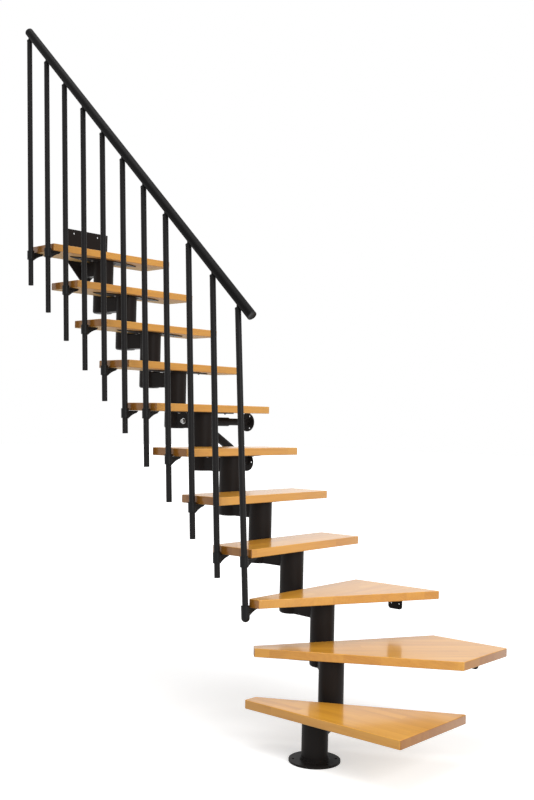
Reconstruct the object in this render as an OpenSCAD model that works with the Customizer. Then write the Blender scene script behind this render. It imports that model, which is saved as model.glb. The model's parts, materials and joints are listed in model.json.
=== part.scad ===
// Modular staircase with a central steel spine, wooden treads and a railing on one side.
// Three winder treads turn the foot of the flight by a quarter, then eight treads run straight.
// The origin is the centre of the underside of the floor flange; +Y climbs, +X goes to the wall.

/* [Flight] */
// Height from one tread top to the next
rise = 225; // [215:1:230]
// Horizontal distance from one post to the next
going = 220; // [215:1:225]
// Turn of each straight tread against the one below it
tread_fan = 0.6; // [0:0.1:0.6]

/* [Treads] */
// Length of a straight tread
tread_w = 860; // [800:10:880]
// Depth of a straight tread
tread_d = 250; // [244:1:254]
// Thickness of the boards
tread_t = 40; // [35:1:44]
// Radius of the upright corners of the boards
tread_r = 8; // [4:1:12]
// Distance from the front edge of a tread back to the post axis
nosing = 105; // [100:1:110]
// Length of a wedge-shaped winder
winder_len = 848; // [800:4:860]
// Width of a winder at its narrow end
winder_narrow = 76; // [60:1:80]
// Width of a wedge-shaped winder at its wide end
winder_wide = 524; // [480:2:530]

/* [Spine] */
// Outer diameter of the posts
tube_d = 118; // [112:0.5:119]
// Wall of the posts
tube_wall = 4; // [3:0.5:5]
// Height of the collar that carries the next post
collar_h = 92; // [80:1:96]
// Thickness of the pointed plates under the treads
plate_t = 6; // [5:1:8]
// Length of a pointed plate
plate_len = 490; // [420:10:500]
// Width of the arm between post and collar
arm_w = 64; // [50:1:70]

/* [Floor flange] */
// Diameter of the floor flange
flange_d = 230; // [220:1:240]
// Thickness of the floor flange
flange_t = 10; // [8:1:12]
// Diameter of the circle of anchor holes
flange_pcd = 190; // [180:1:196]
// Diameter of an anchor hole
flange_hole = 12; // [10:1:13]

/* [Landing plate] */
// Width of the landing plate
landing_w = 334; // [300:2:360]
// Height of the landing plate
landing_h = 308; // [290:2:310]
// Distance between the hole centres across the plate
landing_sx = 180; // [160:2:200]
// Distance between the hole centres up the plate
landing_sz = 116; // [100:2:120]

/* [Wall brace] */
// Distance from the straight posts to the face of the wall
wall_gap = 480; // [476:2:520]
// Diameter of the arm where it leaves the spine
brace_d = 50; // [46:1:54]
// Diameter of the wall flanges
wall_flange_d = 108; // [100:1:112]
// Thickness of the wall flanges
wall_flange_t = 5; // [4:0.5:8]
// Diameter of the circle of screw holes in a wall flange
wall_pcd = 80; // [76:1:84]
// Diameter of a screw hole in a wall flange
wall_hole = 10; // [7:0.5:10]

/* [Railing] */
// Outer diameter of the balusters above their brackets
baluster_d = 29.5; // [29:0.5:30]
// Outer diameter of the balusters below their brackets
baluster_foot_d = 28.5; // [24:0.5:28.5]
// Distance between balusters along the flight
baluster_pitch = 173; // [170:0.5:174]
// Length of a baluster
baluster_len = 1427; // [1207:10:1457]
// Lean of the balusters toward the top of the flight
baluster_lean = 3; // [0:0.5:3]
// Height gained by the railing for each millimetre along the flight
railing_slope = 0.96; // [0.95:0.01:0.98]
// Outer diameter of the handrail
handrail_d = 48; // [42:1:48]
// Outer diameter of the sleeves that hold the balusters
sleeve_d = 40; // [36:1:40]

/* [Hidden] */
$fn = 96;
steel = "#2b2a2a";
trim = "#1d1c1c";
// Direction of each module's arm, in degrees from +X
heading = [20.5, 51, 84.5, 90, 90, 90, 90, 90, 90, 90, 90];
// Direction along each winder tread from its narrow to its wide end
winder_dir = [-89, -43.5, 2.2];
// Distance along each winder from its narrow end to the post axis
winder_reach = [329, 360, 410];
// Plan position of post k, from the floor up
function post(k) =
  k == 1 ? [0, 0] : post(k - 1) + going * [cos(heading[k - 2]), sin(heading[k - 2])];
// Height of the underside of tread k
function under(k) = k * rise - tread_t;
// Direction of the long edge of tread k
function turn(k) = k <= 3 ? winder_dir[k - 1] : -tread_fan * (k - 7.5);
// A convex outline, anticlockwise, with its corners rounded by radius r
function unit(v) = v / norm(v);
function corner(a, p, b, r) =
  let (u = unit(a - p), v = unit(b - p), h = acos(u * v) / 2)
  let (c = p + unit(u + v) * r / sin(h), s = p + u * r / tan(h) - c)
  let (s0 = atan2(s[1], s[0]))
  [for (t = [0:4]) c + r * [cos(s0 + t / 4 * (180 - 2 * h)), sin(s0 + t / 4 * (180 - 2 * h))]];
function rounded(p, r) =
  let (n = len(p))
  [for (i = [0:n - 1]) each corner(p[(i + n - 1) % n], p[i], p[(i + 1) % n], r)];
// Board outlines about the post axis, with x along the tread and y uphill
board_straight = [
  [-tread_w / 2, -nosing],
  [tread_w / 2, -nosing],
  [tread_w / 2, tread_d - nosing],
  [-tread_w / 2, tread_d - nosing]
];
board_first = [
  [-winder_reach[0], -nosing],
  [winder_len - winder_reach[0], -nosing],
  [winder_len - winder_reach[0], winder_wide - nosing],
  [-winder_reach[0], winder_narrow - nosing]
];
kite_len = winder_len * 1.075;
kite_end = winder_narrow * 0.39;
kite_half = kite_end + kite_len * tan(15.7);
kite_mid = 25;
board_corner = [
  [-winder_reach[1], kite_mid - kite_end],
  [kite_len - winder_reach[1], kite_mid - kite_half],
  [kite_len - winder_reach[1] + kite_half, kite_mid],
  [kite_len - winder_reach[1], kite_mid + kite_half],
  [-winder_reach[1], kite_mid + kite_end]
];
third_rear = 120;
third_end = winder_len + 12 - winder_reach[2];
board_third = [
  [-winder_reach[2], third_rear - winder_narrow + 16],
  [third_end, third_rear - winder_wide + 16],
  [third_end, third_rear],
  [-winder_reach[2], third_rear]
];
boards = [board_first, board_corner, board_third, board_straight];
// Railing
rail_x = post(4)[0] - tread_w / 2 - 27;
rail_y0 = post(4)[1] - nosing + 2;
rail_z0 = 3 * rise - tread_t - 45;
// The lowest baluster stands on the third winder, so its foot reaches further forward
function lean(i) = i == 11 ? baluster_lean + 0.6 : baluster_lean;
function rail_y(i) = rail_y0 + (11 - i) * baluster_pitch - (i == 11 ? 15 : 0);
function rail_z(i) = rail_z0 + (11 - i) * baluster_pitch * railing_slope;
rail_angle = atan(railing_slope);
// Plan position along y of baluster i at height z
function lean_y(i, z) = rail_y(i) + (z - rail_z(i)) * tan(lean(i));
// Perpendicular distance from the tops of the balusters up to the handrail's axis
rail_lift = handrail_d / 2 + 12;
rail_below = 87;
rail_above = 40;
// Tread that carries the bracket of baluster i
carrier = [11, 11, 10, 9, 8, 7, 7, 6, 5, 4, 4];
sleeve_h = 46;
sleeve_up = 8;
// Distance along baluster i from its foot up to the underside of its tread
function hold(i) = (under(carrier[i - 1]) - rail_z(i)) / cos(lean(i));
// Landing plate
landing_y = post(11)[1] + 185;
landing_top = 12 * rise - 68;
// Wall brace
brace_x = post(4)[0];
brace_y = post(7)[1] + 115;
brace_z = under(7) - 51;
wall_face = brace_x + wall_gap;
strut_root = brace_x + 84;
strut_drop = 232;

module tread(k) {
  color("peru")
    translate([post(k)[0], post(k)[1], under(k)])
      rotate([0, 0, turn(k)])
        linear_extrude(tread_t)
          polygon(rounded(boards[min(k, 4) - 1], tread_r));
}

// Pointed plates that spread the load under the treads
module tread_plates() {
  half = plate_len / 2;
  mid = 64;
  r = (half * half + mid * mid) / (2 * mid);
  color(steel)
    for (k = [1:11])
      translate([post(k)[0], post(k)[1], under(k) - plate_t])
        rotate([0, 0, turn(k)])
          linear_extrude(plate_t)
            intersection() {
              translate([0, r - mid]) circle(r = r);
              translate([0, mid - r]) circle(r = r);
            }
}

// Cup at the end of an arm, with the spigot that the next post slides over
module collar() {
  r = tube_d / 2;
  fillet = 12;
  bore = r - tube_wall - 0.5;
  rotate_extrude()
    polygon(concat(
      [[0, 0], [r - fillet, 0]],
      [for (t = [1:5]) [r - fillet + fillet * sin(t * 18), fillet - fillet * cos(t * 18)]],
      [[r, collar_h], [bore, collar_h], [bore, collar_h + 60], [bore - 4, collar_h + 60]],
      [[bore - 4, 8], [0, 8]]
    ));
}

// One welded module: post, level arm and collar; the last arm ends at the landing plate
module spine(k) {
  foot = k == 1 ? flange_t : under(k - 1);
  top = under(k) - plate_t;
  reach = k == 11 ? landing_y - post(11)[1] - 8 : going;
  low = under(k) - collar_h + 3;
  color(steel)
    translate([post(k)[0], post(k)[1], 0])
      rotate([0, 0, heading[k - 1]]) {
        difference() {
          union() {
            translate([0, 0, foot])
              cylinder(d = tube_d, h = top - foot);
            translate([0, -arm_w / 2, low])
              cube([reach, arm_w, top - low]);
          }
          translate([0, 0, foot - 1])
            cylinder(d = tube_d - 2 * tube_wall, h = top - foot + 1 - tube_wall);
          if (k < 11)
            translate([reach, 0, low - 1])
              cylinder(d = tube_d - 2, h = collar_h);
        }
        if (k < 11)
          translate([reach, 0, under(k) - collar_h])
            collar();
      }
}

module floor_flange() {
  spigot = tube_d - 2 * tube_wall - 1;
  color(steel)
    difference() {
      union() {
        cylinder(d = flange_d, h = flange_t);
        cylinder(d = tube_d + 9, h = flange_t + 9);
      }
      translate([0, 0, flange_t])
        cylinder(d = tube_d + 0.6, h = 10);
      for (a = [0:5])
        rotate([0, 0, a * 60 + 15])
          translate([flange_pcd / 2, 0, -1])
            cylinder(d = flange_hole, h = flange_t + 2);
    }
  color(steel)
    translate([0, 0, flange_t])
      difference() {
        cylinder(d = spigot, h = 60);
        translate([0, 0, -1])
          cylinder(d = spigot - 8, h = 62);
      }
}

module landing_plate() {
  half = landing_w / 2;
  color(steel)
    translate([post(11)[0], landing_y, landing_top])
      rotate([90, 0, 0])
        linear_extrude(8)
          difference() {
            polygon([
              [-half, 0],
              [-half, -165],
              [-30, -landing_h],
              [30, -landing_h],
              [half, -165],
              [half, 0]
            ]);
            for (i = [-1, 1], j = [0, 1])
              translate([i * landing_sx / 2, -24 - j * landing_sz])
                circle(d = 12);
          }
}

// Round flange whose face lies on the wall
module wall_flange(first) {
  rotate([0, -90, 0])
    difference() {
      cylinder(d = wall_flange_d, h = wall_flange_t);
      for (a = [0:2])
        rotate([0, 0, first + a * 120])
          translate([wall_pcd / 2, 0, -1])
            cylinder(d = wall_hole, h = wall_flange_t + 2);
    }
}

// Level telescopic arm from the spine to the wall
module wall_arm() {
  start = brace_x + arm_w / 2;
  thick = 280;
  color(steel)
    translate([0, brace_y, brace_z]) {
      translate([start, 0, 0])
        rotate([0, 90, 0])
          cylinder(d = brace_d, h = thick);
      translate([start + thick, 0, 0])
        rotate([0, 90, 0])
          cylinder(d = brace_d - 10, h = wall_face - wall_flange_t - start - thick);
      translate([wall_face, 0, 0])
        wall_flange(90);
    }
}

// Slanting strut from the root of the arm down to the wall, cut to fit against the arm
module wall_strut() {
  run = wall_face - strut_root;
  slant = atan(strut_drop / run);
  color(steel)
    translate([0, brace_y, brace_z]) {
      difference() {
        translate([strut_root, 0, 0])
          rotate([0, 90 + slant, 0])
            cylinder(d = brace_d - 4, h = norm([run, strut_drop]));
        translate([brace_x, 0, 0])
          rotate([0, 90, 0])
            cylinder(d = brace_d, h = wall_gap);
        translate([brace_x, -60, 0])
          cube([wall_gap, 120, 60]);
        translate([wall_face - wall_flange_t, -60, -strut_drop - 60])
          cube([60, 120, 120]);
      }
      translate([wall_face, 0, -strut_drop])
        wall_flange(30);
    }
}

// Bolt that holds the wall arm through the seventh module
module brace_bolt() {
  color("silver")
    translate([brace_x - arm_w / 2, brace_y, brace_z])
      rotate([0, -90, 0]) {
        cylinder(d = 32, h = 3);
        translate([0, 0, 3])
          cylinder(d = 26, h = 10, $fn = 6);
      }
}

// Angle from the wall to the underside of a winder, with two screw holes in its upright leg
module wall_angle(reach) {
  difference() {
    union() {
      translate([-reach, -42, -6])
        cube([reach, 84, 6]);
      rotate([90, 0, -90])
        linear_extrude(6)
          union() {
            translate([-42, -76]) square([84, 76]);
            translate([-26, -92]) square([52, 17]);
            translate([-26, -76]) circle(r = 16);
            translate([26, -76]) circle(r = 16);
          }
    }
    for (s = [-1, 1])
      translate([1, s * 24, -64])
        rotate([0, -90, 0])
          cylinder(d = 7, h = 9);
  }
}

module winder_wall_brackets() {
  color(steel) {
    translate([wall_face, post(2)[1] - 355, under(2)])
      wall_angle(100);
    translate([wall_face, post(3)[1] - 78, under(3)])
      wall_angle(120);
  }
}

// Moves to the foot of baluster i and leans with it
module at_baluster(i) {
  translate([rail_x, rail_y(i), rail_z(i)])
    rotate([-lean(i), 0, 0])
      children();
}

module baluster(i) {
  split = hold(i) + sleeve_up - sleeve_h;
  foot = i == 11 ? 0 : -5;
  r = baluster_d / 2;
  foot_r = baluster_foot_d / 2;
  color(steel)
    at_baluster(i)
      rotate_extrude()
        polygon([
          [foot_r - 1.8, foot],
          [foot_r, foot],
          [foot_r, split],
          [r, split],
          [r, baluster_len],
          [r - 1.8, baluster_len],
          [r - 1.8, split + 6],
          [foot_r - 1.8, split + 6]
        ]);
}

// Arm of a bracket: a pointed tongue against the board and a curved web below it
module bracket_arm() {
  translate([0, 0, -6])
    linear_extrude(6)
      union() {
        polygon([[6, -16], [80, -6], [80, 6], [6, 16]]);
        translate([80, 0]) circle(r = 6);
      }
  translate([0, 4, -6])
    rotate([90, 0, 0])
      linear_extrude(8)
        polygon(concat(
          [[6, 1], [6, -36]],
          [for (t = [0:6]) [20 + 58 * t / 6 - 2 * sin(t * 30), -36 + 31 * t / 6 + 4 * sin(t * 30)]],
          [[78, 1]]
        ));
}

// Bracket of baluster i under tread k: a sleeve round the baluster, and the arm
module bracket(i, k) {
  high = (under(k) - rail_z(i)) / cos(lean(i)) + sleeve_up;
  color(trim)
    difference() {
      union() {
        at_baluster(i)
          translate([0, 0, high - sleeve_h])
            cylinder(d = sleeve_d, h = sleeve_h);
        translate([rail_x, lean_y(i, under(k) - 20), under(k) - 1])
          bracket_arm();
      }
      at_baluster(i)
        translate([0, 0, high - sleeve_h - 10])
          cylinder(d = baluster_d + 0.4, h = sleeve_h + 20);
    }
}

// Cup that holds the foot of the lowest baluster beside the third tread
module foot_bracket() {
  color(trim)
    difference() {
      union() {
        at_baluster(11)
          cylinder(d = sleeve_d, h = sleeve_h + sleeve_up);
        at_baluster(11)
          sphere(d = sleeve_d);
        translate([rail_x, lean_y(11, under(3) - 20), under(3) - 1])
          bracket_arm();
      }
      at_baluster(11)
        cylinder(d = baluster_foot_d + 0.4, h = sleeve_h + 20);
    }
}

module baluster_brackets() {
  for (i = [1:11])
    bracket(i, carrier[i - 1]);
  foot_bracket();
}

// Places children with z along the handrail's axis, above baluster i
module along_rail(i) {
  at_baluster(i)
    translate([0, 0, baluster_len])
      rotate([lean(i), 0, 0])
        rotate([rail_angle - 90, 0, 0])
          translate([0, -rail_lift, 0])
            children();
}

module baluster_caps() {
  span = 5 * baluster_pitch / cos(rail_angle) + 60;
  color(trim)
    for (i = [1:11])
      difference() {
        at_baluster(i)
          translate([0, 0, baluster_len])
            union() {
              cylinder(d1 = baluster_d, d2 = 15, h = 12);
              cylinder(d = 14, h = 50);
            }
        along_rail(6)
          translate([0, 0, -span])
            cylinder(d = handrail_d, h = 2 * span);
        along_rail(6)
          translate([-40, -80, -span - 40])
            cube([80, 80, 2 * span + 80]);
      }
}

module handrail() {
  span = 5 * baluster_pitch / cos(rail_angle);
  color(steel)
    along_rail(6)
      translate([0, 0, -span - rail_below])
        difference() {
          cylinder(d = handrail_d, h = 2 * span + rail_below + rail_above);
          translate([0, 0, -1])
            cylinder(d = handrail_d - 4, h = 2 * span + rail_below + rail_above + 2);
        }
}

module handrail_caps() {
  span = 5 * baluster_pitch / cos(rail_angle);
  color(trim)
    along_rail(6)
      for (z = [-span - rail_below - 4, span + rail_above])
        translate([0, 0, z])
          cylinder(d = handrail_d, h = 4);
}

floor_flange();
spine(1);  // spine_01
spine(2);  // spine_02
spine(3);  // spine_03
spine(4);  // spine_04
spine(5);  // spine_05
spine(6);  // spine_06
spine(7);  // spine_07
spine(8);  // spine_08
spine(9);  // spine_09
spine(10);  // spine_10
spine(11);  // spine_11
tread_plates();
tread(1);  // tread_01
tread(2);  // tread_02
tread(3);  // tread_03
tread(4);  // tread_04
tread(5);  // tread_05
tread(6);  // tread_06
tread(7);  // tread_07
tread(8);  // tread_08
tread(9);  // tread_09
tread(10);  // tread_10
tread(11);  // tread_11
landing_plate();
wall_arm();
wall_strut();
brace_bolt();
winder_wall_brackets();
baluster(1);  // baluster_01
baluster(2);  // baluster_02
baluster(3);  // baluster_03
baluster(4);  // baluster_04
baluster(5);  // baluster_05
baluster(6);  // baluster_06
baluster(7);  // baluster_07
baluster(8);  // baluster_08
baluster(9);  // baluster_09
baluster(10);  // baluster_10
baluster(11);  // baluster_11
baluster_brackets();
baluster_caps();
handrail();
handrail_caps();
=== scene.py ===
# %% [markdown]
# # A modular staircase, finished in Blender
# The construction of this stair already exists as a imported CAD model: posts, arms, boards, balusters
# and flanges at their real size. This lesson loads that model as a fixed frame and gives it its looks:
# lacquered boards with softened edges, powder-coated steel, screws, caps and rims, and a small studio.
# Every length below is in metres, in the same frame as the CAD model.

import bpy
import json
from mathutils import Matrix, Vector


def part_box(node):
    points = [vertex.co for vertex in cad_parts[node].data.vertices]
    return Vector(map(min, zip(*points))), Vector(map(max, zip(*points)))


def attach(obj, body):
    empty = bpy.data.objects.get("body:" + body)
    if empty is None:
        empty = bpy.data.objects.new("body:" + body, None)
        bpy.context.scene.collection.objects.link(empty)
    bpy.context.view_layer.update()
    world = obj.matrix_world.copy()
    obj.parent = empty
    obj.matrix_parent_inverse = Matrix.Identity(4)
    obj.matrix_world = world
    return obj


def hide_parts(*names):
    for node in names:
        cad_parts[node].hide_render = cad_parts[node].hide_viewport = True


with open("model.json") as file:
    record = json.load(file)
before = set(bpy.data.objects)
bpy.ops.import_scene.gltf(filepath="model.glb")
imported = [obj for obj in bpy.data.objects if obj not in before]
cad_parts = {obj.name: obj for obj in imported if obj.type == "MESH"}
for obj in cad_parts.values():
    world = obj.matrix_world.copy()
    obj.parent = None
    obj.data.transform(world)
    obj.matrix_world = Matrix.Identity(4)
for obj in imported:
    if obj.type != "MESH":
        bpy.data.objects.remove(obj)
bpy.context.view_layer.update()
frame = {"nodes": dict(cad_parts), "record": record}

import json
import math

import bmesh
import bpy
import numpy as np
from mathutils import Matrix, Vector

nodes = frame["nodes"]

# %% [markdown]
# ## The camera
# The stair is seen from the open side of the railing, at standing height, by a normal lens. A camera's
# pose can be set by Euler angles or by a matrix. A matrix is used, because its columns are the
# camera's right, up and backward directions, which are easy to work out from a heading and a roll.

# %% Camera
MM = 0.001
eye = Vector((-3.557, -2.888, 1.502))
heading = math.radians(47.89)
pitch = math.radians(1.087)
roll = math.radians(1.208)
lens_mm = 46.33
sensor_mm = 36.0

forward = Vector((math.sin(heading) * math.cos(pitch),
                  math.cos(heading) * math.cos(pitch), math.sin(pitch)))
level_right = Vector((math.cos(heading), -math.sin(heading), 0.0))
level_up = level_right.cross(forward)
right = math.cos(roll) * level_right + math.sin(roll) * level_up
up = math.cos(roll) * level_up - math.sin(roll) * level_right

camera_data = bpy.data.cameras.new("camera")
camera_data.lens = lens_mm
camera_data.sensor_width = sensor_mm
camera = bpy.data.objects.new("camera", camera_data)
camera.matrix_world = Matrix((right, up, -forward)).transposed().to_4x4()
camera.location = eye
bpy.context.scene.collection.objects.link(camera)
bpy.context.scene.camera = camera
print("camera looks along", tuple(round(c, 3) for c in forward))

# %% [markdown]
# ## Helpers for materials
# A finish is a small tree of shader nodes. Written out in full each tree takes many lines, so two
# short helpers make a node with its settings and join two sockets.

# %% Material helpers
def add_node(tree, kind, at=None, **settings):
    """A new node of a kind, with its properties and its inputs set by name."""
    made = tree.nodes.new(kind)
    for key, value in settings.items():
        setattr(made, key, value)
    for socket, value in (at or {}).items():
        made.inputs[socket].default_value = value
    return made


def join(tree, from_socket, to_socket):
    tree.links.new(from_socket, to_socket)


def new_finish(name, **shader_values):
    """A material with one Principled shader, whose uniform values are set on its own sockets."""
    made = bpy.data.materials.new(name)
    made.use_nodes = True
    shader = made.node_tree.nodes["Principled BSDF"]
    for socket, value in shader_values.items():
        shader.inputs[socket.replace("_", " ")].default_value = value
    return made, made.node_tree, shader


def maths(tree, operation, a, b=None):
    """One Math node; a and b are sockets or plain numbers. Returns its result socket."""
    made = tree.nodes.new("ShaderNodeMath")
    made.operation = operation
    for slot, value in enumerate((a, b)):
        if value is None:
            continue
        if isinstance(value, (int, float)):
            made.inputs[slot].default_value = value
        else:
            join(tree, value, made.inputs[slot])
    return made.outputs[0]

# %% [markdown]
# ## Powder-coated steel
# Posts, arms, plates and tubes are painted with a charcoal powder that melts into an even satin
# skin. Close up that skin has a very fine "orange peel", and its gloss drifts slightly from place to
# place. A plain dark colour looks like a hole in the scene; a little bump and a little change in
# roughness break up the highlights, and that is what makes it read as coated metal.

# %% Powder coat
def powder_coat(name, colour, roughness, shine, peel_mm=1.6, peel_depth=0.03):
    made, tree, shader = new_finish(name, Specular_IOR_Level=shine)
    place = add_node(tree, "ShaderNodeTexCoord")
    peel = add_node(tree, "ShaderNodeTexNoise", {"Scale": 1 / (peel_mm * MM), "Detail": 2.0})
    cloud = add_node(tree, "ShaderNodeTexNoise", {"Scale": 9.0, "Detail": 5.0, "Roughness": 0.6})
    for texture in (peel, cloud):
        join(tree, place.outputs["Object"], texture.inputs["Vector"])
    tint = add_node(tree, "ShaderNodeMix", data_type="RGBA")
    tint.inputs[6].default_value = (*(0.82 * c for c in colour), 1)
    tint.inputs[7].default_value = (*(1.22 * c for c in colour), 1)
    join(tree, cloud.outputs["Fac"], tint.inputs[0])
    join(tree, tint.outputs[2], shader.inputs["Base Color"])
    gloss = add_node(tree, "ShaderNodeMapRange", {"To Min": roughness - 0.07, "To Max": roughness + 0.07})
    join(tree, cloud.outputs["Fac"], gloss.inputs["Value"])
    join(tree, gloss.outputs["Result"], shader.inputs["Roughness"])
    bump = add_node(tree, "ShaderNodeBump", {"Strength": peel_depth, "Distance": 0.4 * MM})
    join(tree, peel.outputs["Fac"], bump.inputs["Height"])
    join(tree, bump.outputs["Normal"], shader.inputs["Normal"])
    return made


spine_steel = powder_coat("spine_steel", (0.0150, 0.0126, 0.0120), 0.44, 0.07)
railing_steel = powder_coat("railing_steel", (0.0130, 0.0122, 0.0123), 0.42, 0.11,
                            peel_mm=5.0, peel_depth=0.01)
handrail_coat = powder_coat("handrail_coat", (0.0045, 0.0042, 0.0042), 0.46, 0.06,
                            peel_mm=5.0, peel_depth=0.01)
fittings_black = powder_coat("fittings_black", (0.0065, 0.0065, 0.0068), 0.40, 0.15,
                             peel_mm=0.7, peel_depth=0.06)
print("finishes:", [m.name for m in (spine_steel, railing_steel, handrail_coat, fittings_black)])

# %% [markdown]
# ## Bright steel
# Screws and the bolt of the wall brace are zinc plated. Zinc is a real metal surface, so Metallic is
# 1 and the colour is the colour of its reflection. Fine noise in the roughness gives it the milky,
# slightly blotched shine of plating. The small screws under the treads are given a darker colour than
# the bolt.

# %% Zinc plating
def zinc_plating(name, dark, light, roughness):
    made, tree, shader = new_finish(name, Metallic=1.0)
    place = add_node(tree, "ShaderNodeTexCoord")
    grain = add_node(tree, "ShaderNodeTexNoise", {"Scale": 420.0, "Detail": 4.0, "Roughness": 0.7})
    join(tree, place.outputs["Object"], grain.inputs["Vector"])
    shade = add_node(tree, "ShaderNodeMix", data_type="RGBA")
    shade.inputs[6].default_value = (dark, dark, 1.02 * dark, 1)
    shade.inputs[7].default_value = (light, light, 0.98 * light, 1)
    join(tree, grain.outputs["Fac"], shade.inputs[0])
    join(tree, shade.outputs[2], shader.inputs["Base Color"])
    gloss = add_node(tree, "ShaderNodeMapRange", {"To Min": roughness - 0.10, "To Max": roughness + 0.10})
    join(tree, grain.outputs["Fac"], gloss.inputs["Value"])
    join(tree, gloss.outputs["Result"], shader.inputs["Roughness"])
    return made


bright_steel = zinc_plating("bright_steel", 0.52, 0.74, 0.32)
screw_zinc = zinc_plating("screw_zinc", 0.15, 0.27, 0.42)
print("finishes:", bright_steel.name, screw_zinc.name)

# %% [markdown]
# ## Lacquered boards: the wood
# The boards are glued up from staves of pale hardwood and finished with a clear gloss lacquer. A
# picture of wood would slide over the edges and ends. A solid texture does not: growth rings are
# circles round the pith of each stave, so the same rule gives long soft stripes on the faces and
# small arcs on the ends. Each stave gets its own number from its row and its place in the row, and
# that number moves its pith and shifts its tone. The ends are darker, partly because end grain soaks
# up more finish and partly as painted shade. Every board turns with its own step, so a Mapping node
# turns the pattern into the board's own axes. The lacquer is brushed on the top and the edges; the
# underside is only sealed, so it is dull. Painted light is laid on by side: the top is painted
# lighter and yellower, the edges darker as painted shade, and the underside greyer and bluer as a
# painted reflection of the white floor. The surface's own normal tells the shader which side it is
# on. The same four tones, for edge, top, underside and end, serve all the boards; only the staves
# make one board differ from the next.

# %% Wood
stave_w = 46 * MM
stave_l = 620 * MM


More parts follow.
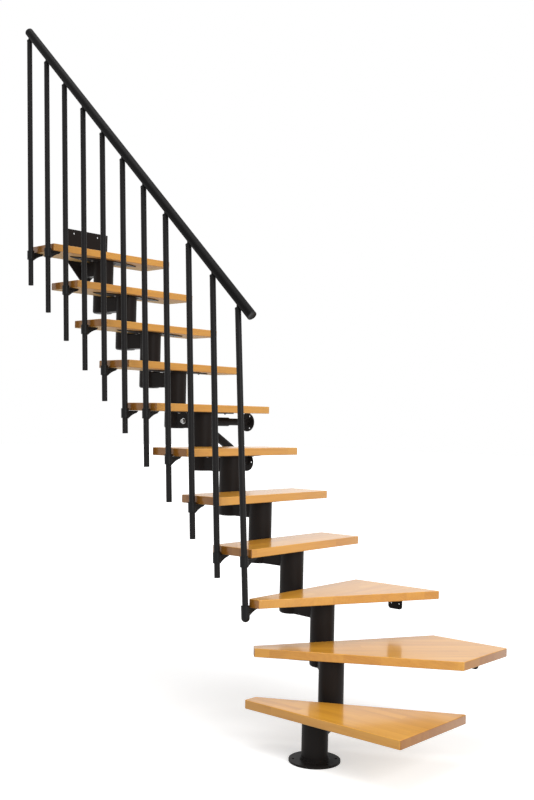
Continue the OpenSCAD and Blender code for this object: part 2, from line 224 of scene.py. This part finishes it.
def lacquered_wood(name, centre, turn, seed, painted_edge_shade, painted_top_light, painted_under_reflection, end_grain_and_painted_shade):
    made, tree, shader = new_finish(name, IOR=1.48, Coat_Roughness=0.12, Coat_IOR=1.45,
                                    Specular_IOR_Level=0.3)
    place = add_node(tree, "ShaderNodeTexCoord")
    turned = Matrix.Rotation(-turn, 3, "Z") @ Vector(centre)
    local = add_node(tree, "ShaderNodeMapping", {"Rotation": (0, 0, -turn), "Location": tuple(-turned)})
    join(tree, place.outputs["Object"], local.inputs["Vector"])
    axes = add_node(tree, "ShaderNodeSeparateXYZ")
    join(tree, local.outputs["Vector"], axes.inputs[0])

    row = maths(tree, "FLOOR", maths(tree, "DIVIDE", axes.outputs["Y"], stave_w))
    row_number = add_node(tree, "ShaderNodeTexWhiteNoise", noise_dimensions="2D")
    row_key = add_node(tree, "ShaderNodeCombineXYZ", {"Y": float(seed)})
    join(tree, row, row_key.inputs["X"])
    join(tree, row_key.outputs[0], row_number.inputs["Vector"])
    along = maths(tree, "ADD", maths(tree, "DIVIDE", axes.outputs["X"], stave_l), row_number.outputs["Value"])
    stave_key = add_node(tree, "ShaderNodeCombineXYZ", {"Z": float(seed)})
    join(tree, row, stave_key.inputs["X"])
    join(tree, maths(tree, "FLOOR", along), stave_key.inputs["Y"])
    stave = add_node(tree, "ShaderNodeTexWhiteNoise", noise_dimensions="3D")
    join(tree, stave_key.outputs[0], stave.inputs["Vector"])

    shift = add_node(tree, "ShaderNodeVectorMath", {1: (3.0, 0.16, 0.12)}, operation="MULTIPLY")
    join(tree, stave.outputs["Color"], shift.inputs[0])
    own = add_node(tree, "ShaderNodeVectorMath", operation="ADD")
    join(tree, local.outputs["Vector"], own.inputs[0])
    join(tree, shift.outputs[0], own.inputs[1])
    slow = add_node(tree, "ShaderNodeVectorMath", {1: (0.10, 1.0, 1.0)}, operation="MULTIPLY")
    join(tree, own.outputs[0], slow.inputs[0])
    rings = add_node(tree, "ShaderNodeTexWave",
                     {"Scale": 34.0, "Distortion": 7.0, "Detail": 3.0, "Detail Scale": 1.4},
                     wave_type="RINGS", rings_direction="X", wave_profile="SIN")
    join(tree, slow.outputs[0], rings.inputs["Vector"])
    fibre_space = add_node(tree, "ShaderNodeVectorMath", {1: (14.0, 520.0, 520.0)}, operation="MULTIPLY")
    join(tree, own.outputs[0], fibre_space.inputs[0])
    fibres = add_node(tree, "ShaderNodeTexNoise", {"Scale": 1.0, "Detail": 3.0, "Roughness": 0.65})
    join(tree, fibre_space.outputs[0], fibres.inputs["Vector"])
    broad_space = add_node(tree, "ShaderNodeVectorMath", {1: (2.2, 26.0, 26.0)}, operation="MULTIPLY")
    join(tree, own.outputs[0], broad_space.inputs[0])
    broad = add_node(tree, "ShaderNodeTexNoise", {"Scale": 1.0, "Detail": 2.0})
    join(tree, broad_space.outputs[0], broad.inputs["Vector"])

    figure = maths(tree, "ADD", maths(tree, "MULTIPLY", rings.outputs["Fac"], 0.08),
                   maths(tree, "MULTIPLY", fibres.outputs["Fac"], 0.32))
    figure = maths(tree, "ADD", figure, maths(tree, "MULTIPLY", broad.outputs["Fac"], 0.60))
    own_tone = maths(tree, "MULTIPLY", maths(tree, "SUBTRACT", stave.outputs["Value"], 0.5), 0.22)
    figure = maths(tree, "ADD", figure, own_tone)
    colours = add_node(tree, "ShaderNodeValToRGB")
    join(tree, figure, colours.inputs[0])
    stops = [(0.12, (0.90, 0.50, 0.105)), (0.45, (0.82, 0.42, 0.078)), (0.90, (0.60, 0.265, 0.045))]
    ramp = colours.color_ramp
    ramp.elements[0].position, ramp.elements[1].position = stops[0][0], stops[2][0]
    ramp.elements.new(stops[1][0])
    for element, (_, colour) in zip(ramp.elements, stops):
        element.color = (*colour, 1)

    facing = add_node(tree, "ShaderNodeVectorRotate", {"Angle": -turn}, rotation_type="Z_AXIS")
    join(tree, place.outputs["Normal"], facing.inputs["Vector"])
    facing_axes = add_node(tree, "ShaderNodeSeparateXYZ")
    join(tree, facing.outputs[0], facing_axes.inputs[0])
    # The ends are darkened: partly end grain that takes up more finish, partly painted shade.
    end_grain = add_node(tree, "ShaderNodeMapRange", {"From Min": 0.47, "From Max": 0.75},
                         interpolation_type="SMOOTHSTEP")
    join(tree, maths(tree, "ABSOLUTE", facing_axes.outputs["X"]), end_grain.inputs["Value"])
    soaked_and_shaded = add_node(tree, "ShaderNodeMix", data_type="RGBA", blend_type="MULTIPLY")
    soaked_and_shaded.inputs[7].default_value = (*end_grain_and_painted_shade, 1)
    join(tree, end_grain.outputs["Result"], soaked_and_shaded.inputs[0])
    join(tree, colours.outputs["Color"], soaked_and_shaded.inputs[6])
    # Painted light by side: the top gets a lighter, yellower painted highlight, the edges painted shade, and
    # the underside a grey-blue painted reflection of the white floor. The underside mask also thins and dulls
    # the lacquer.
    top_light_mask = add_node(tree, "ShaderNodeMapRange", {"From Min": 0.3, "From Max": 0.9})
    under_reflection_and_seal_mask = add_node(tree, "ShaderNodeMapRange", {"From Min": -0.3, "From Max": -0.9})
    tone = painted_edge_shade
    for side, side_tone in ((top_light_mask, painted_top_light), (under_reflection_and_seal_mask, painted_under_reflection)):
        join(tree, facing_axes.outputs["Z"], side.inputs["Value"])
        blend = add_node(tree, "ShaderNodeMix", data_type="RGBA")
        join(tree, side.outputs["Result"], blend.inputs[0])
        if isinstance(tone, tuple):
            blend.inputs[6].default_value = (*tone, 1)
        else:
            join(tree, tone, blend.inputs[6])
        blend.inputs[7].default_value = (*side_tone, 1)
        tone = blend.outputs[2]
    toned = add_node(tree, "ShaderNodeMix", data_type="RGBA", blend_type="MULTIPLY")
    toned.inputs[0].default_value = 1.0
    join(tree, soaked_and_shaded.outputs[2], toned.inputs[6])
    join(tree, tone, toned.inputs[7])
    join(tree, toned.outputs[2], shader.inputs["Base Color"])
    lacquer = add_node(tree, "ShaderNodeMapRange", {"To Min": 0.65, "To Max": 0.05})
    join(tree, under_reflection_and_seal_mask.outputs["Result"], lacquer.inputs["Value"])
    join(tree, lacquer.outputs["Result"], shader.inputs["Coat Weight"])
    satin = add_node(tree, "ShaderNodeMapRange", {"To Min": 0.36, "To Max": 0.62})
    join(tree, under_reflection_and_seal_mask.outputs["Result"], satin.inputs["Value"])
    join(tree, satin.outputs["Result"], shader.inputs["Roughness"])
    bump = add_node(tree, "ShaderNodeBump", {"Strength": 0.10, "Distance": 0.15 * MM})
    join(tree, fibres.outputs["Fac"], bump.inputs["Height"])
    join(tree, bump.outputs["Normal"], shader.inputs["Normal"])
    return made

# %% [markdown]
# ## The boards
# A board is a flat outline given a thickness, and then its arrises are rounded with a router so that
# a foot or a hand never meets a sharp edge. The outline is read from the top face of the CAD board,
# so the new board is the same size. Bevel as a modifier does the router's work: the limit by angle
# picks the long edges and leaves the rounded upright corners alone.

# %% Boards
arris = 3.5 * MM


def top_outline(node):
    """The outline of a board's top face, anticlockwise, read from the CAD mesh."""
    points = np.array([v.co for v in nodes[node].data.vertices])
    top = points[:, 2].max()
    flat = np.unique(np.round(points[points[:, 2] > top - 1e-5][:, :2], 6), axis=0)
    middle = flat.mean(0)
    order = np.argsort(np.arctan2(flat[:, 1] - middle[1], flat[:, 0] - middle[0]))
    return flat[order], points[:, 2].min(), top


def board(name, node, material):
    outline, bottom, top = top_outline(node)
    form = bmesh.new()
    lower = [form.verts.new((x, y, bottom)) for x, y in outline]
    upper = [form.verts.new((x, y, top)) for x, y in outline]
    form.faces.new(upper)
    form.faces.new(lower[::-1])
    for i in range(len(outline)):
        j = (i + 1) % len(outline)
        form.faces.new((lower[i], lower[j], upper[j], upper[i]))
    mesh = bpy.data.meshes.new(name)
    form.to_mesh(mesh)
    form.free()
    mesh.materials.append(material)
    piece = bpy.data.objects.new(name, mesh)
    bpy.context.scene.collection.objects.link(piece)
    bevel = piece.modifiers.new("arris", "BEVEL")
    bevel.width = arris
    bevel.segments = 3
    bevel.limit_method = "ANGLE"
    bevel.angle_limit = math.radians(60)
    bevel.harden_normals = True
    mesh.polygons.foreach_set("use_smooth", [True] * len(mesh.polygons))
    mesh.set_sharp_from_angle(angle=math.radians(40))
    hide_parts(node)
    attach(piece, "root")
    return piece


winder_turns = (-89.0, -43.5, 2.2)
fan = 0.6
straight_middle = 7.5
# Painted light: a lighter, yellower top, darker edges and a grey-blue painted reflection on the underside;
# the darker ends are partly end grain, partly painted shade.
wood_and_painted_light_tones = {"painted_edge_shade": (0.82, 0.76, 0.58), "painted_top_light": (1.00, 0.90, 0.48),
                 "painted_under_reflection": (0.60, 0.72, 1.20), "end_grain_and_painted_shade": (0.50, 0.41, 0.31)}
boards = []
for k in range(1, 12):
    node = f"tread_{k:02d}"
    low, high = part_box(node)
    turn = winder_turns[k - 1] if k <= len(winder_turns) else -fan * (k - straight_middle)
    wood = lacquered_wood(f"wood_{k:02d}", (low + high) / 2, math.radians(turn), 7 * k,
                          **wood_and_painted_light_tones)
    boards.append(board(f"board_{k:02d}", node, wood))
print("boards:", len(boards), "thickness", round(high.z - low.z, 4))

# %% [markdown]
# ## The CAD parts get their finishes
# Most steel parts keep their CAD shape. The imported record says which finish each one belongs to, so
# one loop over it puts the right material on every part, including the parts that are replaced by a
# more detailed piece further down. Only the handrail differs from its slot: it gets a darker coat than
# the balusters.

# %% CAD nodes in their finishes
FINISH_OF_SLOT = {"spine_steel": spine_steel, "railing_steel": railing_steel,
                  "fittings_black": fittings_black, "bright_steel": bright_steel}
for subpart in frame["record"]["subparts"]:
    finish = FINISH_OF_SLOT.get(subpart["material_slot"])
    if finish is not None:
        mesh = nodes[subpart["node"]].data
        mesh.materials.clear()
        mesh.materials.append(handrail_coat if subpart["node"] == "handrail" else finish)

# %% [markdown]
# ## Where the small parts go
# Screws, rims and weld beads follow the construction: every post stands one going further along the
# flight than the post below it, every tread is one rise higher, and every baluster leans a little
# uphill. The same few numbers that shape the CAD model give all those places.

# %% Places
rise = 225 * MM
going = 220 * MM
tread_t = 40 * MM
headings = (20.5, 51.0, 84.5) + (90.0,) * 7
posts = [Vector((0.0, 0.0, 0.0))]
for angle in map(math.radians, headings):
    posts.append(posts[-1] + going * Vector((math.cos(angle), math.sin(angle), 0)))
undersides = [(k + 1) * rise - tread_t for k in range(len(posts))]
turns = [math.radians(t) for t in winder_turns]
turns += [math.radians(-fan * (k - straight_middle)) for k in range(4, 12)]

tread_w = 860 * MM
pitch_y = 173 * MM
slope = 0.96
rail_x = posts[3].x - tread_w / 2 - 27 * MM
first_y = posts[3].y - 103 * MM
first_z = 3 * rise - 85 * MM
carriers = (11, 11, 10, 9, 8, 7, 7, 6, 5, 4, 4)
leans = [math.radians(3.0)] * 10 + [math.radians(3.6)]
lowest = 11
lowest_back = 15 * MM
feet = []
for i in range(1, lowest + 1):
    further = (lowest - i) * pitch_y
    back = lowest_back if i == lowest else 0
    feet.append(Vector((rail_x, first_y + further - back, first_z + further * slope)))


def on_baluster(i, height):
    """The point of baluster i's axis at a height, and the turn that points +Z along the baluster."""
    lean = leans[i - 1]
    foot = feet[i - 1]
    return foot + Vector((0, math.tan(lean), 1)) * (height - foot.z), (-lean, 0.0, 0.0)


print("posts:", len(posts), "last post at", tuple(round(c, 3) for c in posts[-1]))

# %% [markdown]
# ## Small parts with Geometry Nodes
# The same screw or ring is needed dozens of times. Modelling it once and copying it by hand would
# work, but a node group does it better: it makes the shape from a few named sizes and puts one on
# every point it is given, turned as that point asks. The points carry their turn as an attribute.
# Each group ends by turning the instances into real geometry and giving it its material, and the
# result is kept as a plain mesh.

# %% Geometry Nodes helpers
def geometry_group(name, **sizes):
    """A node group with geometry and a material in, geometry out, and a named input for each size."""
    group = bpy.data.node_groups.new(name, "GeometryNodeTree")
    face = group.interface
    face.new_socket("Geometry", in_out="INPUT", socket_type="NodeSocketGeometry")
    face.new_socket("Geometry", in_out="OUTPUT", socket_type="NodeSocketGeometry")
    face.new_socket("Material", in_out="INPUT", socket_type="NodeSocketMaterial")
    for title, default in sizes.items():
        size = face.new_socket(title.replace("_", " "), in_out="INPUT", socket_type="NodeSocketFloat")
        size.default_value = default
    return group, group.nodes.new("NodeGroupInput").outputs, group.nodes.new("NodeGroupOutput").inputs


def one_on_each_point(group, given, result, form):
    """Puts the form on every point, turned by the points' own attribute, and makes it real."""
    turn = add_node(group, "GeometryNodeInputNamedAttribute", {"Name": "turn"}, data_type="FLOAT_VECTOR")
    placed = add_node(group, "GeometryNodeInstanceOnPoints")
    join(group, given["Geometry"], placed.inputs["Points"])
    join(group, form, placed.inputs["Instance"])
    join(group, turn.outputs["Attribute"], placed.inputs["Rotation"])
    real = add_node(group, "GeometryNodeRealizeInstances")
    join(group, placed.outputs["Instances"], real.inputs["Geometry"])
    coated = add_node(group, "GeometryNodeSetMaterial")
    join(group, real.outputs["Geometry"], coated.inputs["Geometry"])
    join(group, given["Material"], coated.inputs["Material"])
    join(group, coated.outputs["Geometry"], result["Geometry"])


def grow(name, places, group, material, **sizes):
    """Runs a group on a list of (point, turn) and keeps the result as a plain mesh object."""
    cloud = bpy.data.meshes.new(name + "_points")
    cloud.from_pydata([tuple(point) for point, _ in places], [], [])
    turn = cloud.attributes.new("turn", "FLOAT_VECTOR", "POINT")
    turn.data.foreach_set("vector", [angle for _, angles in places for angle in angles])
    host = bpy.data.objects.new(name + "_points", cloud)
    bpy.context.scene.collection.objects.link(host)
    modifier = host.modifiers.new("grow", "NODES")
    modifier.node_group = group
    values = {title.replace("_", " "): value for title, value in sizes.items()}
    values["Material"] = material
    for socket in group.interface.items_tree:
        if socket.in_out == "INPUT" and socket.name in values:
            modifier[socket.identifier] = values[socket.name]
    seen = host.evaluated_get(bpy.context.evaluated_depsgraph_get())
    mesh = bpy.data.meshes.new_from_object(seen)
    bpy.data.objects.remove(host)
    mesh.name = name
    mesh.polygons.foreach_set("use_smooth", [True] * len(mesh.polygons))
    mesh.set_sharp_from_angle(angle=math.radians(40))
    return keep(name, mesh)


def keep(name, mesh):
    """Links a mesh as a piece that rides on the stair."""
    piece = bpy.data.objects.new(name, mesh)
    bpy.context.scene.collection.objects.link(piece)
    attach(piece, "root")
    return piece

# %% [markdown]
# ## Socket screws
# Under every tread, zinc-plated screws hold the pointed plate to the board, and smaller black ones
# hold the brackets. A head is a short cone on a washer, with a six-sided socket cut into it by a Boolean.
# The cut happens once, on the first screw, before it is copied to all the points.

# %% Screws
screw_group, given, result = geometry_group(
    "socket_screw", Head_Radius=5.5 * MM, Head_Height=3.6 * MM, Washer_Radius=7 * MM,
    Washer_Height=1.2 * MM, Socket_Radius=2.6 * MM)
washer = add_node(screw_group, "GeometryNodeMeshCylinder", {"Vertices": 36})
join(screw_group, given["Washer Radius"], washer.inputs["Radius"])
join(screw_group, given["Washer Height"], washer.inputs["Depth"])
head = add_node(screw_group, "GeometryNodeMeshCone", {"Vertices": 36})
join(screw_group, maths(screw_group, "MULTIPLY", given["Head Radius"], 0.78), head.inputs["Radius Top"])
join(screw_group, given["Head Radius"], head.inputs["Radius Bottom"])
join(screw_group, given["Head Height"], head.inputs["Depth"])
socket = add_node(screw_group, "GeometryNodeMeshCylinder", {"Vertices": 6})
join(screw_group, given["Socket Radius"], socket.inputs["Radius"])
join(screw_group, given["Head Height"], socket.inputs["Depth"])
sunk = add_node(screw_group, "GeometryNodeTransform")
join(screw_group, socket.outputs["Mesh"], sunk.inputs["Geometry"])
offset = add_node(screw_group, "ShaderNodeCombineXYZ")
join(screw_group, maths(screw_group, "MULTIPLY", given["Head Height"], 0.85), offset.inputs["Z"])
join(screw_group, offset.outputs[0], sunk.inputs["Translation"])
cut = add_node(screw_group, "GeometryNodeMeshBoolean", operation="DIFFERENCE")
join(screw_group, head.outputs["Mesh"], cut.inputs["Mesh 1"])
join(screw_group, sunk.outputs["Geometry"], cut.inputs["Mesh 2"])
raised = add_node(screw_group, "GeometryNodeTransform")
join(screw_group, cut.outputs["Mesh"], raised.inputs["Geometry"])
lift = add_node(screw_group, "ShaderNodeCombineXYZ")
join(screw_group, maths(screw_group, "MULTIPLY", given["Washer Height"], 0.9), lift.inputs["Z"])
join(screw_group, lift.outputs[0], raised.inputs["Translation"])
whole = add_node(screw_group, "GeometryNodeJoinGeometry")
for part in (washer.outputs["Mesh"], raised.outputs["Geometry"]):
    join(screw_group, part, whole.inputs["Geometry"])
one_on_each_point(screw_group, given, result, whole.outputs["Geometry"])

plate_t = 6 * MM
facing_down = (math.pi, 0.0, 0.0)
plate_places = []
for post, low, turn in zip(posts, undersides, turns):
    along = Vector((math.cos(turn), math.sin(turn), 0))
    for reach in (-175 * MM, -85 * MM, 85 * MM, 175 * MM):
        below_plate = Vector((0, 0, low - plate_t - 0.5 * MM))
        plate_places.append((post + along * reach + below_plate, facing_down))
grow("plate_screws", plate_places, screw_group, screw_zinc)

bracket_reach = 34 * MM
bracket_t = 7.3 * MM
bracket_places = []
for i, carrier in [(11, 3)] + list(enumerate(carriers, 1)):
    low = undersides[carrier - 1]
    axis = on_baluster(i, low - 20 * MM)[0]
    for side in (-8.4 * MM, 8.4 * MM):
        place = Vector((axis.x + bracket_reach, axis.y + side, low - bracket_t))
        bracket_places.append((place, facing_down))
grow("bracket_screws", bracket_places, screw_group, fittings_black, Head_Radius=3.2 * MM,
             Head_Height=2.2 * MM, Washer_Radius=3.8 * MM, Washer_Height=0.8 * MM, Socket_Radius=1.5 * MM)

arm_w = 64 * MM
brace_ahead = 115 * MM
brace_below = 51 * MM
half_washer = 1.4 * MM
brace = Vector((posts[3].x - arm_w / 2, posts[6].y + brace_ahead, undersides[6] - brace_below))
bolt_place = brace - Vector((half_washer, 0, 0))
bolt = grow("brace_bolt_head", [(bolt_place, (0.0, -math.pi / 2, 0.0))], screw_group, bright_steel,
            Head_Radius=13 * MM, Head_Height=10 * MM, Washer_Radius=16 * MM, Washer_Height=2 * half_washer,
            Socket_Radius=7.5 * MM)
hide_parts("brace_bolt")
print("screws:", len(plate_places) + len(bracket_places) + 1)

# %% [markdown]
# ## Rims and weld beads
# A moulded sleeve has a rolled rim, the mouth of a collar has a lip, and a welded joint has a bead.
# All three are rings: a round curve with a round section. A weld bead isn't even, so the group can
# also push its surface in and out with a noise of fixed pattern, by an amount called Ripple.

# %% Rings
ring_group, given, result = geometry_group("ring", Ring_Radius=20 * MM, Bead_Radius=1.5 * MM, Ripple=0.0)
path = add_node(ring_group, "GeometryNodeCurvePrimitiveCircle", {"Resolution": 72})
join(ring_group, given["Ring Radius"], path.inputs["Radius"])
section = add_node(ring_group, "GeometryNodeCurvePrimitiveCircle", {"Resolution": 12})
join(ring_group, given["Bead Radius"], section.inputs["Radius"])
tube = add_node(ring_group, "GeometryNodeCurveToMesh")
join(ring_group, path.outputs["Curve"], tube.inputs["Curve"])
join(ring_group, section.outputs["Curve"], tube.inputs["Profile Curve"])
noise = add_node(ring_group, "ShaderNodeTexNoise", {"Scale": 160.0, "Detail": 1.0})
swing = maths(ring_group, "SUBTRACT", noise.outputs["Fac"], 0.5)
swing = maths(ring_group, "MULTIPLY", swing, given["Ripple"])
normal = add_node(ring_group, "GeometryNodeInputNormal")
push = add_node(ring_group, "ShaderNodeVectorMath", operation="SCALE")
join(ring_group, normal.outputs[0], push.inputs[0])
join(ring_group, swing, push.inputs["Scale"])
uneven = add_node(ring_group, "GeometryNodeSetPosition")
join(ring_group, tube.outputs["Mesh"], uneven.inputs["Geometry"])
join(ring_group, push.outputs[0], uneven.inputs["Offset"])
one_on_each_point(ring_group, given, result, uneven.outputs["Geometry"])

upright = (0.0, 0.0, 0.0)
sleeve_up = 8 * MM
sleeve_h = 46 * MM
rim_places = []
for i, carrier in enumerate(carriers, 1):
    for height in (sleeve_up, sleeve_up - sleeve_h):
        rim_places.append(on_baluster(i, undersides[carrier - 1] + height))
rim_places.append(on_baluster(11, undersides[2] + sleeve_up + 1 * MM))
grow("sleeve_rims", rim_places, ring_group, fittings_black, Ring_Radius=18.6 * MM,
             Bead_Radius=2.0 * MM)

post_r = 59 * MM
collar_places = [(post + Vector((0, 0, low)), upright) for post, low in zip(posts[1:], undersides)]
grow("collar_lips", collar_places, ring_group, spine_steel, Ring_Radius=post_r - 0.4 * MM,
             Bead_Radius=1.3 * MM)
weld_places = [(post + Vector((0, 0, low - plate_t)), upright) for post, low in zip(posts, undersides)]
grow("plate_welds", weld_places, ring_group, spine_steel, Ring_Radius=post_r + 0.5 * MM,
             Bead_Radius=2.6 * MM, Ripple=1.6 * MM)
flange_t = 10 * MM
socket_r = 63.5 * MM
grow("flange_weld", [(Vector((0, 0, flange_t)), upright)], ring_group, spine_steel,
             Ring_Radius=socket_r + 0.5 * MM, Bead_Radius=3.0 * MM, Ripple=1.8 * MM)
grow("flange_lip", [(Vector((0, 0, flange_t + 9 * MM)), upright)], ring_group, spine_steel,
             Ring_Radius=socket_r - 2.2 * MM, Bead_Radius=2.2 * MM)

wall_x = posts[3].x + 480 * MM
wall_flange_t = 5 * MM
sleeve_reach = 280 * MM
sideways = (0.0, math.pi / 2, 0.0)
step = Vector((posts[3].x + arm_w / 2 + sleeve_reach, brace.y, brace.z))
grow("arm_step", [(step, sideways)], ring_group, spine_steel, Ring_Radius=22.8 * MM,
             Bead_Radius=2.4 * MM)
wall_weld = Vector((wall_x - wall_flange_t, brace.y, brace.z))
grow("arm_weld", [(wall_weld, sideways)], ring_group, spine_steel, Ring_Radius=20.5 * MM,
             Bead_Radius=2.4 * MM, Ripple=1.6 * MM)
print("rings:", len(rim_places) + len(collar_places) + len(weld_places) + 4)

# %% [markdown]
# ## Turned caps
# The caps of the balusters and of the handrail are round in one direction and shaped in the other,
# like something turned on a lathe. The outline of half of the cap is drawn once, as pairs of radius
# and height, and swung round the axis. Where the outline touches the axis, the ring of points there
# is replaced by a single point, so that the surface closes without a pinch.

# %% Lathe
def lathe(outline, steps=48):
    """A closed solid of revolution: rings of points and the faces between them."""
    points, faces, rings = [], [], []
    for radius, height in outline:
        if radius == 0:
            rings.append([len(points)] * steps)
            points.append(Vector((0, 0, height)))
        else:
            rings.append(list(range(len(points), len(points) + steps)))
            for n in range(steps):
                angle = 2 * math.pi * n / steps
                points.append(Vector((radius * math.cos(angle), radius * math.sin(angle), height)))
    for low, high in zip(rings, rings[1:]):
        for n in range(steps):
            m = (n + 1) % steps
            corners = [low[n], low[m], high[m], high[n]]
            faces.append(list(dict.fromkeys(corners)))
    return points, faces


def turned(name, outline, placements, material):
    """One mesh with the turned form at every placement matrix."""
    points, faces = lathe(outline)
    all_points, all_faces = [], []
    for placement in placements:
        all_faces += [[len(all_points) + v for v in face] for face in faces]
        all_points += [placement @ point for point in points]
    mesh = bpy.data.meshes.new(name)
    mesh.from_pydata(all_points, [], all_faces)
    mesh.materials.append(material)
    mesh.polygons.foreach_set("use_smooth", [True] * len(mesh.polygons))
    mesh.set_sharp_from_angle(angle=math.radians(50))
    return keep(name, mesh)


def arc(centre, radii, start, end, steps=6):
    """Points on a stretch of an ellipse between two angles in degrees."""
    angles = [math.radians(start + (end - start) * n / steps) for n in range(steps + 1)]
    return [(centre[0] + radii[0] * math.cos(a), centre[1] + radii[1] * math.sin(a)) for a in angles]


baluster_len = 1427 * MM
shoulder = arc((9.2, 3.2), (6.3, 7.2), 0, 90)
neck = arc((9.2, 13.4), (2.0, 3.0), 270, 180, steps=4)[1:]
cap_outline = [(0, -9), (12.6, -9), (12.6, -0.5), (15.5, -0.5)] + shoulder + neck + [(7.2, 25.0), (0, 25.0)]
tops = []
for foot, lean in zip(feet, leans):
    tilt = Matrix.Rotation(-lean, 4, "X")
    tops.append(Matrix.Translation(foot + tilt @ Vector((0, 0, baluster_len))) @ tilt)
caps = turned("baluster_cap_set", [(r * MM, z * MM) for r, z in cap_outline], tops, fittings_black)
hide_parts("baluster_caps")

rail_angle = math.atan(slope)
rail_r = 24 * MM
span = 5 * pitch_y / math.cos(rail_angle)
uphill = Vector((0, math.cos(rail_angle), math.sin(rail_angle)))
off_rail = Vector((0, -math.sin(rail_angle), math.cos(rail_angle)))
neck_gap = 12 * MM
past_lowest = 87 * MM
past_highest = 40 * MM
middle = tops[5].translation + off_rail * (rail_r + neck_gap)
rim = arc((22.2, 2.2), (2.0, 2.0), 0, 90)
cap_edge = [(0, -8), (21.6, -8), (21.6, 0), (24.2, 0)] + rim + [(20.8, 4.2), (19.6, 3.4), (0, 3.8)]
ends = []
for reach, direction in ((-span - past_lowest, -uphill), (span + past_highest, uphill)):
    turn = direction.to_track_quat("Z", "X").to_matrix().to_4x4()
    ends.append(Matrix.Translation(middle + uphill * reach) @ turn)
rail_ends = turned("handrail_end_caps", [(r * MM, z * MM) for r, z in cap_edge], ends, fittings_black)
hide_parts("handrail_caps")
print("turned caps:", len(tops) + len(ends))

# %% [markdown]
# ## Softened steel
# A laser-cut plate or a sawn box section is never razor sharp: it is deburred, and the powder coat
# rounds it further. The CAD mesh has sharp edges, so a copy of it is softened instead. The copy's
# points are merged first, because a CAD mesh keeps separate points for each face; flat neighbours
# are joined so that the bevel follows only real edges; then a narrow Bevel catches the light.

# %% Softened steel
def softened(node, width):
    form = bmesh.new()
    form.from_mesh(nodes[node].data)
    bmesh.ops.remove_doubles(form, verts=form.verts, dist=0.02 * MM)
    bmesh.ops.dissolve_limit(form, angle_limit=math.radians(0.6), verts=form.verts, edges=form.edges)
    mesh = bpy.data.meshes.new(node + "_soft")
    form.to_mesh(mesh)
    form.free()
    mesh.materials.append(spine_steel)
    mesh.polygons.foreach_set("use_smooth", [True] * len(mesh.polygons))
    mesh.set_sharp_from_angle(angle=math.radians(35))
    piece = keep(node + "_soft", mesh)
    bevel = piece.modifiers.new("deburr", "BEVEL")
    bevel.width = width
    bevel.segments = 2
    bevel.limit_method = "ANGLE"
    bevel.angle_limit = math.radians(35)
    bevel.harden_normals = True
    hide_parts(node)
    return piece


soft_nodes = ["floor_flange", "tread_plates", "landing_plate", "winder_wall_brackets"]
for node in soft_nodes:
    piece = softened(node, 1.2 * MM)
    seen = piece.evaluated_get(bpy.context.evaluated_depsgraph_get())
    print(node, "points", len(piece.data.vertices), "after the bevel", len(seen.data.vertices))

# %% [markdown]
# ## A white studio
# A part like this is shown on seamless white. A floor alone never looks white, because a surface
# only returns part of the light it gets, and light thins out with distance. So the floor also glows a
# little, more so further away, but only in rays that come from the camera or from a mirror
# reflection: a Light Path node keeps that glow out of the lighting, so the soft shadow under the
# stair stays. The world does the same: it looks pure white, yet lights the stair more gently. A broad
# lamp in front of the flight gives the edges of the boards their brightness, and one overhead gives
# the gloss on their tops.

# %% Floor
def only_seen(tree, strength):
    """A number that is strength for rays from the camera, from gloss and through glass, and else 0."""
    path = add_node(tree, "ShaderNodeLightPath")
    seen = maths(tree, "MAXIMUM", path.outputs["Is Camera Ray"], path.outputs["Is Glossy Ray"])
    seen = maths(tree, "MAXIMUM", seen, path.outputs["Is Transmission Ray"])
    return maths(tree, "MULTIPLY", seen, strength)


floor_mesh = bpy.data.meshes.new("floor")
floor_reach = 40.0
floor_mesh.from_pydata([(-floor_reach, -floor_reach, 0), (floor_reach, -floor_reach, 0),
                        (floor_reach, floor_reach, 0), (-floor_reach, floor_reach, 0)], [], [(0, 1, 2, 3)])
floor = bpy.data.objects.new("floor", floor_mesh)
bpy.context.scene.collection.objects.link(floor)
floor_paint, tree, shader = new_finish("floor_paint", Roughness=0.9)
shader.inputs["Base Color"].default_value = (0.80, 0.80, 0.80, 1)
shader.inputs["Emission Color"].default_value = (1, 1, 1, 1)
where = add_node(tree, "ShaderNodeNewGeometry")
distance = add_node(tree, "ShaderNodeVectorMath", operation="LENGTH")
join(tree, where.outputs["Position"], distance.inputs[0])
glow = add_node(tree, "ShaderNodeMapRange", {"From Min": 1.0, "From Max": 6.0, "To Min": 0.52, "To Max": 1.0})
join(tree, distance.outputs["Value"], glow.inputs["Value"])
shown_glow = maths(tree, "MULTIPLY", glow.outputs["Result"], only_seen(tree, 1.0))
join(tree, shown_glow, shader.inputs["Emission Strength"])
floor_mesh.materials.append(floor_paint)

world = bpy.data.worlds.new("studio")
bpy.context.scene.world = world
world.use_nodes = True
tree = world.node_tree
background = tree.nodes["Background"]
background.inputs["Color"].default_value = (1, 1, 1, 1)
ambient = 0.42
join(tree, maths(tree, "ADD", only_seen(tree, 1.0 - ambient), ambient), background.inputs["Strength"])


def soft_lamp(name, place, aim, size, watts):
    data = bpy.data.lights.new(name, "AREA")
    data.shape = "RECTANGLE"
    data.size, data.size_y = size
    data.energy = watts
    lamp = bpy.data.objects.new(name, data)
    lamp.location = place
    lamp.rotation_mode = "QUATERNION"
    lamp.rotation_quaternion = (Vector(aim) - Vector(place)).to_track_quat("-Z", "Y")
    bpy.context.scene.collection.objects.link(lamp)
    return lamp


soft_lamp("key", (-1.2, -5.0, 3.2), (0.3, 0.8, 1.2), (3.5, 3.5), 190)
soft_lamp("top", (-0.5, 0.5, 6.5), (0.3, 0.9, 0.0), (4.0, 4.0), 150)

bpy.context.scene.view_settings.view_transform = "Standard"
